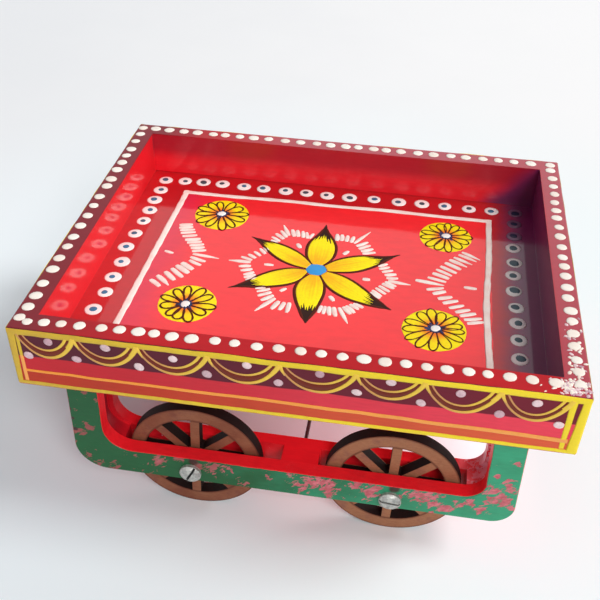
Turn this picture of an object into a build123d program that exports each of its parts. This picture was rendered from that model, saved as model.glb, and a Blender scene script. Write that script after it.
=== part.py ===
from build123d import *
import os

# A small painted wooden cart: an open tray on two wheel frames, with four free spoked wheels.
# Millimetres, +Z up. The origin is on the ground under the middle of the tray.
# X runs along the tray's length, and the front is at -Y.

# Tray
tray_length = 254.0
tray_width = 199.0
tray_height = 34.0
wall_thickness = 11.0
floor_thickness = 8.0
edge_radius = 0.8

# Wheels, cut from flat board
wheel_radius = 34.2
wheel_thickness = 6.5
rim_width = 7.4
hub_radius = 8.0
spoke_count = 8
spoke_width = 4.6
spoke_turn = 43.0
wheel_gap = 32.4

# Wheel frames: an outer panel, a core with the wheel slots, and an inner panel.
# Their legs splay, so that a frame is longest at its foot.
frame_setback = 8.7
frame_end_inset = 16.4
leg_splay = 1.8
outer_panel_thickness = 7.8
core_thickness = 10.0
inner_panel_thickness = 6.4
frame_height = 64.0
bar_height = 15.8
leg_width = 15.5
panel_edge_chamfer = 0.5
axle_above_bar_edge = 6.5
slot_end_clearance = 2.0
core_leg_setback = 3.0
block_clearance_left = 10.6
block_clearance_right = 3.2
foot_radius_left = 16.0
foot_radius_right = 11.5
window_radius_left = 14.0
window_radius_right = 10.0

# Axle screws, with pan heads and a straight slot
shank_diameter = 4.8
tip_diameter = 2.4
tip_length = 2.0
head_diameter = 11.0
head_height = 2.8
head_crown_diameter = 8.4
head_side_height = 1.7
driver_slot_width = 1.2
driver_slot_depth = 1.3
tip_cover = 1.2
axle_clearance = 0.08
screw_hole_clearance = 0.03

# Tie rod between the two frames
rod_diameter = 2.0
rod_seat_depth = 4.0
rod_clearance = 0.03

# Frame name and the side of the cart it stands on, -1 at the front
frame_sides = {"front": -1, "back": 1}
# End name and its direction along X
frame_ends = {"left": -1, "right": 1}
# Angle of the driver slot in each screw head
driver_slot_turns = {"front_left": 63.0, "front_right": -6.0, "back_left": 28.0, "back_right": 112.0}

# Heights and reaches that follow from the sizes above
axle_height = wheel_radius
bar_bottom = axle_height - axle_above_bar_edge
bar_top = bar_bottom + bar_height
tray_bottom = bar_bottom + frame_height
axle_x = wheel_radius + wheel_gap / 2
slot_end = axle_x + wheel_radius + slot_end_clearance
foot_reach = tray_length / 2 - frame_end_inset
shoulder_reach = foot_reach - leg_splay
block_left = -wheel_gap / 2 + block_clearance_left
block_right = wheel_gap / 2 - block_clearance_right
block_middle = (block_left + block_right) / 2
outer_face = tray_width / 2 - frame_setback
core_face = outer_face - outer_panel_thickness
inner_panel_face = core_face - core_thickness
inner_face = inner_panel_face - inner_panel_thickness
wheel_face = core_face - (core_thickness - wheel_thickness) / 2
screw_point = inner_face + tip_cover
shank_radius = shank_diameter / 2
rod_level = bar_bottom + bar_height / 2
rod_reach = inner_panel_face + rod_seat_depth

os.makedirs("parts", exist_ok=True)


def cross_plane(distance, side):
    """Upright plane across Y, at a distance out from the cart's middle on one side."""
    return Plane.XZ.offset(-side * distance)


def save(part, name):
    part.label = name
    export_step(part, f"parts/{name}.step")


# Tray floor, let in flush between the four walls
with BuildPart() as tray_floor:
    with BuildSketch(Plane.XY.offset(tray_bottom)):
        Rectangle(tray_length - 2 * wall_thickness, tray_width - 2 * wall_thickness)
    extrude(amount=floor_thickness)
save(tray_floor.part, "tray_floor")

# Long walls, the tray's full length, with their outer top and corner edges rounded
for name, side in frame_sides.items():
    wall_middle = side * (tray_width - wall_thickness) / 2
    with BuildPart() as long_wall:
        with BuildSketch(Plane.XY.offset(tray_bottom)):
            with Locations((0, wall_middle)):
                Rectangle(tray_length, wall_thickness)
        extrude(amount=tray_height)
        outer_edges = long_wall.faces().sort_by(Axis.Y)[0 if side < 0 else -1].edges()
        corner_edges = outer_edges.filter_by(Axis.Z)
        top_edge = outer_edges.sort_by(Axis.Z)[-1:]
        end_edges = long_wall.faces().sort_by(Axis.Z)[-1].edges().filter_by(Axis.Y)
        fillet(corner_edges + top_edge + end_edges, radius=edge_radius)
    save(long_wall.part, f"tray_wall_{name}")

# Short walls, between the long ones
for name, direction in frame_ends.items():
    wall_middle = direction * (tray_length - wall_thickness) / 2
    with BuildPart() as short_wall:
        with BuildSketch(Plane.XY.offset(tray_bottom)):
            with Locations((wall_middle, 0)):
                Rectangle(wall_thickness, tray_width - 2 * wall_thickness)
        extrude(amount=tray_height)
        outer_edges = short_wall.faces().sort_by(Axis.X)[0 if direction < 0 else -1].edges()
        fillet(outer_edges.sort_by(Axis.Z)[-1:], radius=edge_radius)
    save(short_wall.part, f"tray_wall_{name}")


def reach_at(level):
    """Half length of a frame at a height, on the line of its splayed legs."""
    return foot_reach - leg_splay * (level - bar_bottom) / frame_height


def u_outline(leg):
    """U-shaped outline of one layer, open towards the tray, with legs of a given width."""
    with BuildSketch() as outline:
        with BuildLine():
            foot_corners = [(-foot_reach, bar_bottom), (foot_reach, bar_bottom)]
            shoulders = [(shoulder_reach, tray_bottom), (-shoulder_reach, tray_bottom)]
            Polyline(*foot_corners, *shoulders, close=True)
        make_face()
        with BuildLine():
            window_foot = reach_at(bar_top) - leg
            window_top = shoulder_reach - leg
            window_corners = [(-window_foot, bar_top), (window_foot, bar_top)]
            Polyline(*window_corners, (window_top, tray_bottom), (-window_top, tray_bottom), close=True)
        make_face(mode=Mode.SUBTRACT)
        rounded_corners = [
            (-foot_reach, bar_bottom, foot_radius_left),
            (foot_reach, bar_bottom, foot_radius_right),
            (-window_foot, bar_top, window_radius_left),
            (window_foot, bar_top, window_radius_right),
        ]
        for reach, level, corner_radius in rounded_corners:
            corner = outline.vertices().sort_by_distance((reach, level))[0]
            fillet(corner, radius=corner_radius)
    return outline.sketch


panel_outline = u_outline(leg_width)

# The core's legs stand back a little from the panels' inner edges, and the wheel slots part it
with BuildSketch() as core_outline:
    add(u_outline(leg_width - core_leg_setback))
    with Locations((0, bar_bottom)):
        Rectangle(2 * slot_end, frame_height, align=(Align.CENTER, Align.MIN), mode=Mode.SUBTRACT)

axle_places = [(-axle_x, axle_height), (axle_x, axle_height)]

for frame_name, side in frame_sides.items():
    outward = -side

    with BuildPart() as outer_panel:
        with BuildSketch(cross_plane(core_face, side)):
            add(panel_outline)
        extrude(amount=outward * outer_panel_thickness)
        show_face = outer_panel.faces().sort_by(Axis.Y)[0 if side < 0 else -1]
        chamfer(show_face.edges(), length=panel_edge_chamfer)
        with BuildSketch(cross_plane(core_face, side)):
            with Locations(*axle_places):
                Circle(shank_radius + screw_hole_clearance)
        extrude(amount=outward * outer_panel_thickness, mode=Mode.SUBTRACT)
    save(outer_panel.part, f"frame_{frame_name}_outer_panel")

    # The inner panel takes the screws' tips and the tie rod
    with BuildPart() as inner_panel:
        with BuildSketch(cross_plane(inner_face, side)):
            add(panel_outline)
            with Locations((block_middle, rod_level)):
                Circle(rod_diameter / 2 + rod_clearance, mode=Mode.SUBTRACT)
        extrude(amount=outward * inner_panel_thickness)
        with BuildSketch(cross_plane(screw_point, side)):
            with Locations(*axle_places):
                Circle(shank_radius + screw_hole_clearance)
        extrude(amount=outward * inner_panel_thickness, mode=Mode.SUBTRACT)
    save(inner_panel.part, f"frame_{frame_name}_inner_panel")

    with BuildPart() as middle_block:
        with BuildSketch(cross_plane(inner_panel_face, side)):
            with Locations((block_middle, rod_level)):
                Rectangle(block_right - block_left, bar_height)
        extrude(amount=outward * core_thickness)
        with BuildSketch(cross_plane(inner_panel_face, side)):
            with Locations((block_middle, rod_level)):
                Circle(rod_diameter / 2 + rod_clearance)
        extrude(amount=outward * rod_seat_depth, mode=Mode.SUBTRACT)
    save(middle_block.part, f"frame_{frame_name}_middle_block")

    for end_name, direction in frame_ends.items():
        with BuildPart() as end_block:
            with BuildSketch(cross_plane(inner_panel_face, side)):
                add(core_outline.sketch.faces().sort_by(Axis.X)[0 if direction < 0 else -1])
            extrude(amount=outward * core_thickness)
        save(end_block.part, f"frame_{frame_name}_{end_name}_block")

# Wheel pattern: a rim and a hub joined by straight spokes with sharp cut corners
with BuildSketch() as wheel_pattern:
    Circle(wheel_radius)
    Circle(wheel_radius - rim_width, mode=Mode.SUBTRACT)
    with PolarLocations(0, spoke_count, start_angle=spoke_turn):
        Rectangle(wheel_radius - rim_width / 2, spoke_width, align=(Align.MIN, Align.CENTER))
    Circle(hub_radius)
    Circle(shank_radius + axle_clearance, mode=Mode.SUBTRACT)

for frame_name, side in frame_sides.items():
    outward = -side
    for end_name, direction in frame_ends.items():
        corner_name = f"{frame_name}_{end_name}"
        wheel_axis_x = direction * axle_x

        with BuildPart() as wheel:
            with BuildSketch(cross_plane(wheel_face - wheel_thickness, side)):
                with Locations((wheel_axis_x, axle_height)):
                    add(wheel_pattern.sketch)
            extrude(amount=outward * wheel_thickness)
        save(wheel.part, f"wheel_{corner_name}")

        # Screw: a half section turned about the axle, then the driver slot across its head
        section_plane = Plane(origin=(wheel_axis_x, 0, axle_height), x_dir=(1, 0, 0), z_dir=(0, 0, 1))
        head_top = outer_face + head_height
        head_shoulder = outer_face + head_side_height
        half_section = [
            (0, screw_point),
            (tip_diameter / 2, screw_point),
            (shank_radius, screw_point + tip_length),
            (shank_radius, outer_face),
            (head_diameter / 2, outer_face),
            (head_diameter / 2, head_shoulder),
            (head_crown_diameter / 2, head_top),
            (0, head_top),
        ]
        with BuildPart() as axle_screw:
            with BuildSketch(section_plane):
                with BuildLine():
                    Polyline(*[(radius, side * reach) for radius, reach in half_section], close=True)
                make_face()
            revolve(axis=Axis((wheel_axis_x, 0, axle_height), (0, 1, 0)))
            with BuildSketch(cross_plane(head_top - driver_slot_depth, side)):
                with Locations((wheel_axis_x, axle_height)):
                    Rectangle(2 * head_diameter, driver_slot_width, rotation=driver_slot_turns[corner_name])
            extrude(amount=outward * head_height, mode=Mode.SUBTRACT)
        save(axle_screw.part, f"axle_screw_{corner_name}")

# Tie rod, seated in both middle blocks
with BuildPart() as tie_rod:
    with BuildSketch(cross_plane(rod_reach, 1)):
        with Locations((block_middle, rod_level)):
            Circle(rod_diameter / 2)
    extrude(amount=2 * rod_reach)
save(tie_rod.part, "tie_rod")
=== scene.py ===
import math
import random
import bpy
import bmesh
from mathutils import Matrix, Vector


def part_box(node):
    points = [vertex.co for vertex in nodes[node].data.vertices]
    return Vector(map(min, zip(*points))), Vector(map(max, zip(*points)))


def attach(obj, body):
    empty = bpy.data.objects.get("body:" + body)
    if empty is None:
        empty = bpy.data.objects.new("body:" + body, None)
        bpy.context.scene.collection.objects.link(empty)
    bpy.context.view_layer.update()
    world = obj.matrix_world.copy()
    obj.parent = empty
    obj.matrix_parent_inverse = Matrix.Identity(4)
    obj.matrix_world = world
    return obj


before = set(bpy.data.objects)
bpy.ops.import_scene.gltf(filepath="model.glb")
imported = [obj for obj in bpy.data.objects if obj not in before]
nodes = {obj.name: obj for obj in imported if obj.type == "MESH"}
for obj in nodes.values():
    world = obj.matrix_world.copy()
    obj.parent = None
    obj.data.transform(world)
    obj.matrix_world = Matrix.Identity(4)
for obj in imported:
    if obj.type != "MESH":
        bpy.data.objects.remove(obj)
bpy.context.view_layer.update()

# Tables below are in millimetres on the cart's own axes, and mm turns them into metres.
mm = 0.001
scene = bpy.context.scene
print("frame loaded:", len(nodes), "nodes")

corners = ("front_left", "front_right", "back_left", "back_right")
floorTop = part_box("tray_floor")[1].z
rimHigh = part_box("tray_wall_front")[1].z
trayLow = Vector((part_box("tray_wall_left")[0].x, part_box("tray_wall_front")[0].y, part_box("tray_floor")[0].z))
trayHigh = Vector((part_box("tray_wall_right")[1].x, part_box("tray_wall_back")[1].y, rimHigh))
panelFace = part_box("frame_back_outer_panel")[1].y


# Small helpers for node trees

def rgb(red, green, blue):
    # Screen colour 0 to 255 to a linear shader colour
    def linear(value):
        value /= 255.0
        return value / 12.92 if value <= 0.04045 else ((value + 0.055) / 1.055) ** 2.4
    return (linear(red), linear(green), linear(blue), 1.0)


def fill(tree, socket, value):
    # A socket gets a link or a plain value
    if isinstance(value, bpy.types.NodeSocket):
        tree.links.new(value, socket)
    else:
        socket.default_value = value


def fillAll(tree, node, values):
    for key, value in values.items():
        fill(tree, node.inputs[key], value)


def addNode(tree, kind, inputs=None, **settings):
    node = tree.nodes.new(kind)
    for key, value in settings.items():
        setattr(node, key, value)
    fillAll(tree, node, inputs or {})
    return node


def result(tree, kind, inputs=None, **settings):
    # The first output of a new node
    return addNode(tree, kind, inputs, **settings).outputs[0]


def calc(tree, operation, first, *others):
    # One value's function, such as its square root, or several values joined from left to right
    if not others:
        return result(tree, "ShaderNodeMath", {0: first}, operation=operation)
    for other in others:
        first = result(tree, "ShaderNodeMath", {0: first, 1: other}, operation=operation)
    return first


def scaled(tree, value, factor, offset=0.0):
    # value times factor, plus offset
    return result(tree, "ShaderNodeMath", {0: value, 1: factor, 2: offset}, operation="MULTIPLY_ADD")


def vectorCalc(tree, operation, first, second=(0.0, 0.0, 0.0)):
    node = addNode(tree, "ShaderNodeVectorMath", {0: first, 1: second}, operation=operation)
    return node.outputs["Value" if operation in ("DISTANCE", "LENGTH") else "Vector"]


def parts(tree, vector):
    return addNode(tree, "ShaderNodeSeparateXYZ", {0: vector}).outputs[:]


def mixColor(tree, mask, first, second):
    return addNode(tree, "ShaderNodeMix", {0: mask, 6: first, 7: second}, data_type="RGBA").outputs[2]


def ramp(tree, value, low, high, start=0.0, end=1.0):
    # Smooth step from start to end as the value goes from low to high
    limits = {0: value, 1: low, 2: high, 3: start, 4: end}
    return result(tree, "ShaderNodeMapRange", limits, interpolation_type="SMOOTHSTEP")


def span(tree, value, limits, start=0.0, end=1.0):
    # The same between two places in mm
    return ramp(tree, value, limits[0] * mm, limits[1] * mm, start, end)


def edgeAt(tree, value, middle, soft, start=0.0, end=1.0):
    # The same as a narrow edge around one place in mm
    return span(tree, value, (middle - soft, middle + soft), start, end)


def noise(tree, vector, scale, detail=3.0, roughness=0.55, distortion=0.0):
    return result(tree, "ShaderNodeTexNoise", {
        "Vector": vector, "Scale": scale, "Detail": detail, "Roughness": roughness,
        "Distortion": distortion})


def sway(tree, place, scale, reach, detail=3.0, roughness=0.55):
    # Noise that swings about zero, by half the reach each way
    return scaled(tree, noise(tree, place, scale, detail, roughness), reach, -reach / 2)


socketKinds = {int: "NodeSocketInt", float: "NodeSocketFloat", 3: "NodeSocketVector", 4: "NodeSocketColor"}


def startGroup(name, inputs, outputs, kind="ShaderNodeTree"):
    # An input is given by its first value, or by its socket's kind where it has none
    group = bpy.data.node_groups.new(name, kind)
    for label, value in inputs.items():
        known = isinstance(value, str)
        socketKind = value if known else socketKinds[len(value) if isinstance(value, tuple) else type(value)]
        socket = group.interface.new_socket(label, in_out="INPUT", socket_type=socketKind)
        if not known:
            socket.default_value = value
    for label, socketKind in outputs.items():
        group.interface.new_socket(label, in_out="OUTPUT", socket_type=socketKind)
    return group, group.nodes.new("NodeGroupInput").outputs, group.nodes.new("NodeGroupOutput").inputs


# Effects shared by the paints

def makeBrushCoat():
    # Brushed paint: streaks along one axis, soft blotches, and a low wavy height
    group, given, out = startGroup("brushCoat", {
        "Place": (0.0, 0.0, 0.0),
        "Color": (0.5, 0.0, 0.0, 1.0),
        "Streak": (90.0, 600.0, 600.0),
        "Depth": 0.12,
        "Gloss": 0.25,
    }, {"Color": "NodeSocketColor", "Roughness": "NodeSocketFloat", "Height": "NodeSocketFloat"})
    streaks = noise(group, vectorCalc(group, "MULTIPLY", given["Place"], given["Streak"]), 1.0, 4.0, 0.6)
    blotches = noise(group, given["Place"], 34.0, 3.0, 0.6)
    speck = noise(group, given["Place"], 900.0, 2.0, 0.6)
    tone = calc(group, "ADD", scaled(group, streaks, 1.2, -0.6), scaled(group, blotches, 1.0, -0.5))
    light = scaled(group, tone, given["Depth"], 1.0)
    shade = result(group, "ShaderNodeVectorMath", {0: given["Color"], "Scale": light}, operation="SCALE")
    fill(group, out["Color"], shade)
    fill(group, out["Roughness"], scaled(group, blotches, 0.12, given["Gloss"]))
    height = scaled(group, streaks, 0.7, scaled(group, speck, 0.12, scaled(group, blotches, 0.9)))
    fill(group, out["Height"], height)
    return group


def makeChipWear():
    # Paint chips: ragged patches that grow where the bias is high
    group, given, out = startGroup(
        "chipWear", {"Place": (0.0, 0.0, 0.0), "Bias": 0.0, "Scale": 140.0, "Cut": 0.62},
        {"Mask": "NodeSocketFloat", "Rim": "NodeSocketFloat"})
    wide = scaled(group, noise(group, given["Place"], given["Scale"], 6.0, 0.68, 0.5), 1.7, -0.35)
    level = calc(group, "ADD", wide, sway(group, given["Place"], 42.0, 0.55, 2.0, 0.5), given["Bias"])
    over = calc(group, "SUBTRACT", level, given["Cut"])
    fill(group, out["Mask"], ramp(group, over, 0.0, 0.035))
    rim = calc(group, "SUBTRACT", ramp(group, over, -0.012, 0.004), ramp(group, over, 0.012, 0.04))
    fill(group, out["Rim"], rim)
    return group


def makeEdgeDistance():
    # Distance from a point on a box's surface to the box's nearest edge, the middle one of its three gaps
    group, given, out = startGroup(
        "edgeDistance", {"Place": (0.0, 0.0, 0.0), "Centre": (0.0, 0.0, 0.0), "Half": (1.0, 1.0, 1.0)},
        {"Distance": "NodeSocketFloat"})
    away = vectorCalc(group, "ABSOLUTE", vectorCalc(group, "SUBTRACT", given["Place"], given["Centre"]))
    gaps = parts(group, vectorCalc(group, "SUBTRACT", given["Half"], away))
    lowest, highest = calc(group, "MINIMUM", *gaps), calc(group, "MAXIMUM", *gaps)
    fill(group, out["Distance"], calc(group, "SUBTRACT", calc(group, "ADD", *gaps), lowest, highest))
    return group


brushCoat = makeBrushCoat()
chipWear = makeChipWear()
edgeDistance = makeEdgeDistance()


def brushed(tree, place, color, streak, depth, gloss):
    # A brushed coat's colour, roughness and height
    values = {"Place": place, "Color": color, "Streak": streak, "Depth": depth, "Gloss": gloss}
    return addNode(tree, "ShaderNodeGroup", values, node_tree=brushCoat).outputs


def chips(tree, place, bias, scale, cut):
    values = {"Place": place, "Bias": bias, "Scale": scale, "Cut": cut}
    return addNode(tree, "ShaderNodeGroup", values, node_tree=chipWear).outputs


def newMaterial(name):
    material = bpy.data.materials.new(name)
    material.use_nodes = True
    tree = material.node_tree
    place = addNode(tree, "ShaderNodeTexCoord").outputs["Object"]
    return material, tree, tree.nodes["Principled BSDF"], place


def dress(tree, surface, color, roughness, height, strength, depth, varnish=None):
    # Links a finish: a bump of this strength and depth in mm, and over paint a clear varnish, given by its
    # weight, its roughness and the paint's specular level
    bump = result(tree, "ShaderNodeBump", {"Height": height, "Strength": strength, "Distance": depth * mm})
    values = {"Base Color": color, "Roughness": roughness, "Normal": bump}
    if varnish:
        values["Coat Normal"] = bump
        values.update(zip(("Coat Weight", "Coat Roughness", "Specular IOR Level"), varnish))
    fillAll(tree, surface, values)


def onNodes(material, names):
    for name in names:
        mesh = nodes[name].data
        mesh.materials.clear()
        mesh.materials.append(material)


def boxCentre(name):
    low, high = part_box(name)
    return (low + high) / 2


# The tray's paint

trayPaint = {
    "field": rgb(250, 36, 42),
    # painted reflection: the field's purplish tint at its left end
    "fieldPaintedReflection": rgb(204, 30, 78),
    "border": rgb(188, 12, 22),
    # painted shadow of the right wall on the border's right strip
    "shadeBorder": rgb(122, 22, 84),
    "wall": rgb(224, 18, 32),
    # the back wall's inside, low and high: a painted reflection of the floor
    "farWall": rgb(236, 24, 42),
    "farWallHigh": rgb(178, 18, 42),
    # painted shade on the right wall's inside
    "rightWall": rgb(96, 8, 54),
    "cornerShade": rgb(112, 34, 84),
    "rimFront": rgb(186, 14, 26),
    "rimLeft": rgb(126, 26, 38),
    "rimBack": rgb(172, 32, 54),
    # the outer faces' colours at their left and right ends
    "upperPanel": (rgb(86, 12, 36), rgb(116, 8, 36)),
    "band": (rgb(198, 28, 42), rgb(240, 62, 84)),
    "foot": (rgb(188, 50, 22), rgb(226, 92, 52)),
    "under": rgb(196, 34, 42),
    "wornEdge": rgb(112, 40, 34),
    "fieldHalf": (91.0, 67.0),
    "bandTop": 16.3,
    "bandFoot": 25.0,
    # where a colour begins to turn and where it has turned
    "paintedReflectionTurn": (-91, -66),
    "shadeBorderTurn": (92, 108),
    "cornerShadeTurn": (78, 96),
    "farWallRise": (8, 18),
    "backWallInside": (86, 87.5),
    "rightWallInside": (113, 115),
    "rimLeftTurn": (-118, -70),
    "rimBackAlong": (-105, 0),
    "rimBackInside": (84, 90),
    "rimRightInside": (113, 118),
    "brightTurn": (-100, 130),
}


def makeTrayPaint(name, clearness):
    look = trayPaint
    material, tree, surface, place = newMaterial(name)
    x, y, z = parts(tree, place)
    wave = sway(tree, place, 70.0, 3.0 * mm)
    awayX, awayY = calc(tree, "ABSOLUTE", x), calc(tree, "ABSOLUTE", y)
    # floor: bright field with a painted purplish reflection at its left end, inside a darker border
    inField = [edgeAt(tree, calc(tree, "ADD", away, wave), half, 0.2, 1.0, 0.0)
               for away, half in zip((awayX, awayY), look["fieldHalf"])]
    # the border's right strip turns dark purple: the right wall's shadow, painted
    stainAndShade = span(tree, scaled(tree, wave, 4.0, x), look["shadeBorderTurn"])
    border = mixColor(tree, stainAndShade, look["border"], look["shadeBorder"])
    paintedReflection = span(tree, scaled(tree, wave, 5.0, x), look["paintedReflectionTurn"], 0.62, 0.0)
    field = mixColor(tree, paintedReflection, look["field"], look["fieldPaintedReflection"])
    floorColor = mixColor(tree, calc(tree, "MULTIPLY", *inField), border, field)
    # walls
    # walls: the back wall's inside is brighter low and darker high, a painted reflection of the floor
    overFloor = calc(tree, "SUBTRACT", z, floorTop)
    far = mixColor(tree, span(tree, overFloor, look["farWallRise"]), look["farWall"], look["farWallHigh"])
    wall = mixColor(tree, span(tree, y, look["backWallInside"]), look["wall"], far)
    # painted shade: the right wall's inside is dark purple
    onRight = span(tree, x, look["rightWallInside"])
    wall = mixColor(tree, onRight, wall, look["rightWall"])
    slanted = scaled(tree, wave, 2.0, calc(tree, "SUBTRACT", x, overFloor))
    wall = mixColor(tree, span(tree, slanted, look["cornerShadeTurn"]), wall, look["cornerShade"])
    onFloor = span(tree, overFloor, (0.2, 0.8), 1.0, 0.0)
    color = mixColor(tree, onFloor, wall, floorColor)
    # rim: clear red in front, dull maroon on the left, paler on the back and right
    drop = calc(tree, "SUBTRACT", rimHigh, z)
    onRim = span(tree, drop, (0.2, 0.5), 1.0, 0.0)
    patchy = calc(tree, "ADD", x, sway(tree, place, 28.0, 50 * mm, 3.0, 0.6))
    rim = mixColor(tree, span(tree, patchy, look["rimLeftTurn"]), look["rimLeft"], look["rimFront"])
    onBack = span(tree, y, look["rimBackInside"])
    onBack = calc(tree, "MULTIPLY", onBack, span(tree, x, look["rimBackAlong"]))
    polished = calc(tree, "MAXIMUM", onBack, span(tree, x, look["rimRightInside"]))
    color = mixColor(tree, onRim, color, mixColor(tree, polished, rim, look["rimBack"]))
    # outer faces: dark panel, crimson band and brown foot, brighter towards the front's right end
    outX = calc(tree, "SUBTRACT", awayX, trayHigh.x - 0.35 * mm)
    outY = calc(tree, "SUBTRACT", awayY, trayHigh.y - 0.35 * mm)
    outside = edgeAt(tree, calc(tree, "MAXIMUM", outX, outY), 0.0, 0.1)
    ragged = scaled(tree, wave, 0.25, calc(tree, "ADD", drop, sway(tree, place, 26.0, 3.2 * mm, 2.0)))
    toBright = span(tree, patchy, look["brightTurn"])
    layers = ("upperPanel", "band", "foot")
    panel, crimson, brown = (mixColor(tree, toBright, *look[layer]) for layer in layers)
    side = mixColor(tree, edgeAt(tree, ragged, look["bandTop"], 0.3), panel, crimson)
    side = mixColor(tree, edgeAt(tree, scaled(tree, wave, 0.2, drop), look["bandFoot"], 0.2), side, brown)
    color = mixColor(tree, outside, color, side)
    below = span(tree, calc(tree, "SUBTRACT", z, trayLow.z), (0.1, 0.3), 1.0, 0.0)
    color = mixColor(tree, below, color, look["under"])
    # worn arrises
    box = {"Place": place, "Centre": (trayHigh + trayLow) / 2, "Half": (trayHigh - trayLow) / 2}
    edge = result(tree, "ShaderNodeGroup", box, node_tree=edgeDistance)
    wear = chips(tree, place, span(tree, edge, (0.0, 2.2), 0.16, -0.4), 260.0, 0.84)
    color = mixColor(tree, wear["Mask"], color, look["wornEdge"])
    coat = brushed(tree, place, color, (120, 300, 900), 0.2, 0.34)
    dress(tree, surface, *coat, 0.35, 0.12, (1.0, clearness, 0.2))
    # thick varnish inside the tray, thinner on the right wall, thin on the outer faces and the front rim
    plainRim = calc(tree, "MULTIPLY", onRim, scaled(tree, polished, -1.0, 1.0))
    onWalls = scaled(tree, calc(tree, "MAXIMUM", onFloor, onRim), -1.0, 1.0)
    thin = calc(tree, "MAXIMUM", outside, plainRim, below, calc(tree, "MULTIPLY", onRight, onWalls, 0.75))
    fill(tree, surface.inputs["Coat Weight"], ramp(tree, thin, 0.0, 1.0, 1.0, 0.12))
    return material


# The frames' paint

framePaint = {
    "green": rgb(50, 162, 120),
    "deepGreen": rgb(12, 86, 42),
    "greenTurn": (-60, 130),
    "chip": rgb(218, 118, 128),
    "deepChip": rgb(192, 84, 94),
    "leftChip": rgb(150, 76, 72),
    "leftChipTurn": (-90, 20),
    "chipRim": rgb(110, 84, 70),
    "chipLean": 35.0,
    "dent": rgb(58, 26, 26),
    "red": rgb(250, 32, 44),
    "darkRed": rgb(150, 14, 34),
    # painted shade at the window's left end
    "paintedShadeRed": rgb(142, 20, 36),
    "paintedShadeTurn": (-98, -76),
    # pale pink for the scuffs, also a painted highlight
    "scuffAndHighlight": rgb(255, 196, 210),
    "blockHeight": 15.8,
    "oldHole": rgb(62, 24, 20),
    "oldHoleRise": 8.0,
    "oldHoleShift": 1.5,
    "edgeDents": [(-110.0, 79.5), (-109.6, 74.0), (-109.3, 69.0), (-108.6, 62.5), (-108.2, 55.0)],
    # Worn spots on the outer faces: along, height and radius
    "wornSpots": [
        (-99.7, 81.6, 1.2), (-93.8, 77.2, 1.6), (-106.7, 68.8, 1.2), (-105.9, 53.3, 1.8),
        (-100.3, 59.7, 3.0), (-105.3, 35.1, 2.6), (-98.3, 31.0, 3.0), (-91.8, 31.0, 2.8), (-84.4, 41.2, 1.3),
        (-78.2, 40.9, 1.3), (-66.9, 39.1, 2.6), (-56.2, 42.6, 1.9), (-46.2, 39.4, 2.0), (-40.5, 38.9, 3.2),
        (-32.6, 39.9, 2.5), (-24.0, 31.6, 2.4), (-10.4, 38.7, 1.5), (0.7, 41.3, 1.9), (5.8, 35.4, 2.4),
        (10.7, 39.3, 3.0), (16.1, 41.0, 3.0), (20.2, 37.0, 3.0), (20.6, 32.6, 2.6), (27.2, 29.6, 1.4),
        (32.6, 41.5, 2.6), (39.4, 36.1, 3.2), (43.7, 38.0, 3.2), (53.9, 36.4, 1.8), (59.7, 41.4, 2.6),
        (64.3, 39.0, 3.4), (69.7, 38.1, 4.2), (73.2, 41.6, 2.4), (76.9, 33.0, 2.8), (83.2, 37.6, 2.0),
        (87.7, 39.9, 2.0), (95.1, 34.7, 2.4), (97.7, 50.2, 3.2), (101.0, 45.5, 4.0), (103.6, 41.6, 2.2),
        (107.4, 52.8, 2.4), (104.4, 57.9, 2.0), (106.7, 71.3, 1.2), (98.5, 60.8, 1.2), (108.4, 40.2, 1.5),
        (71.4, 27.6, 1.3),
    ],
}


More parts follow.
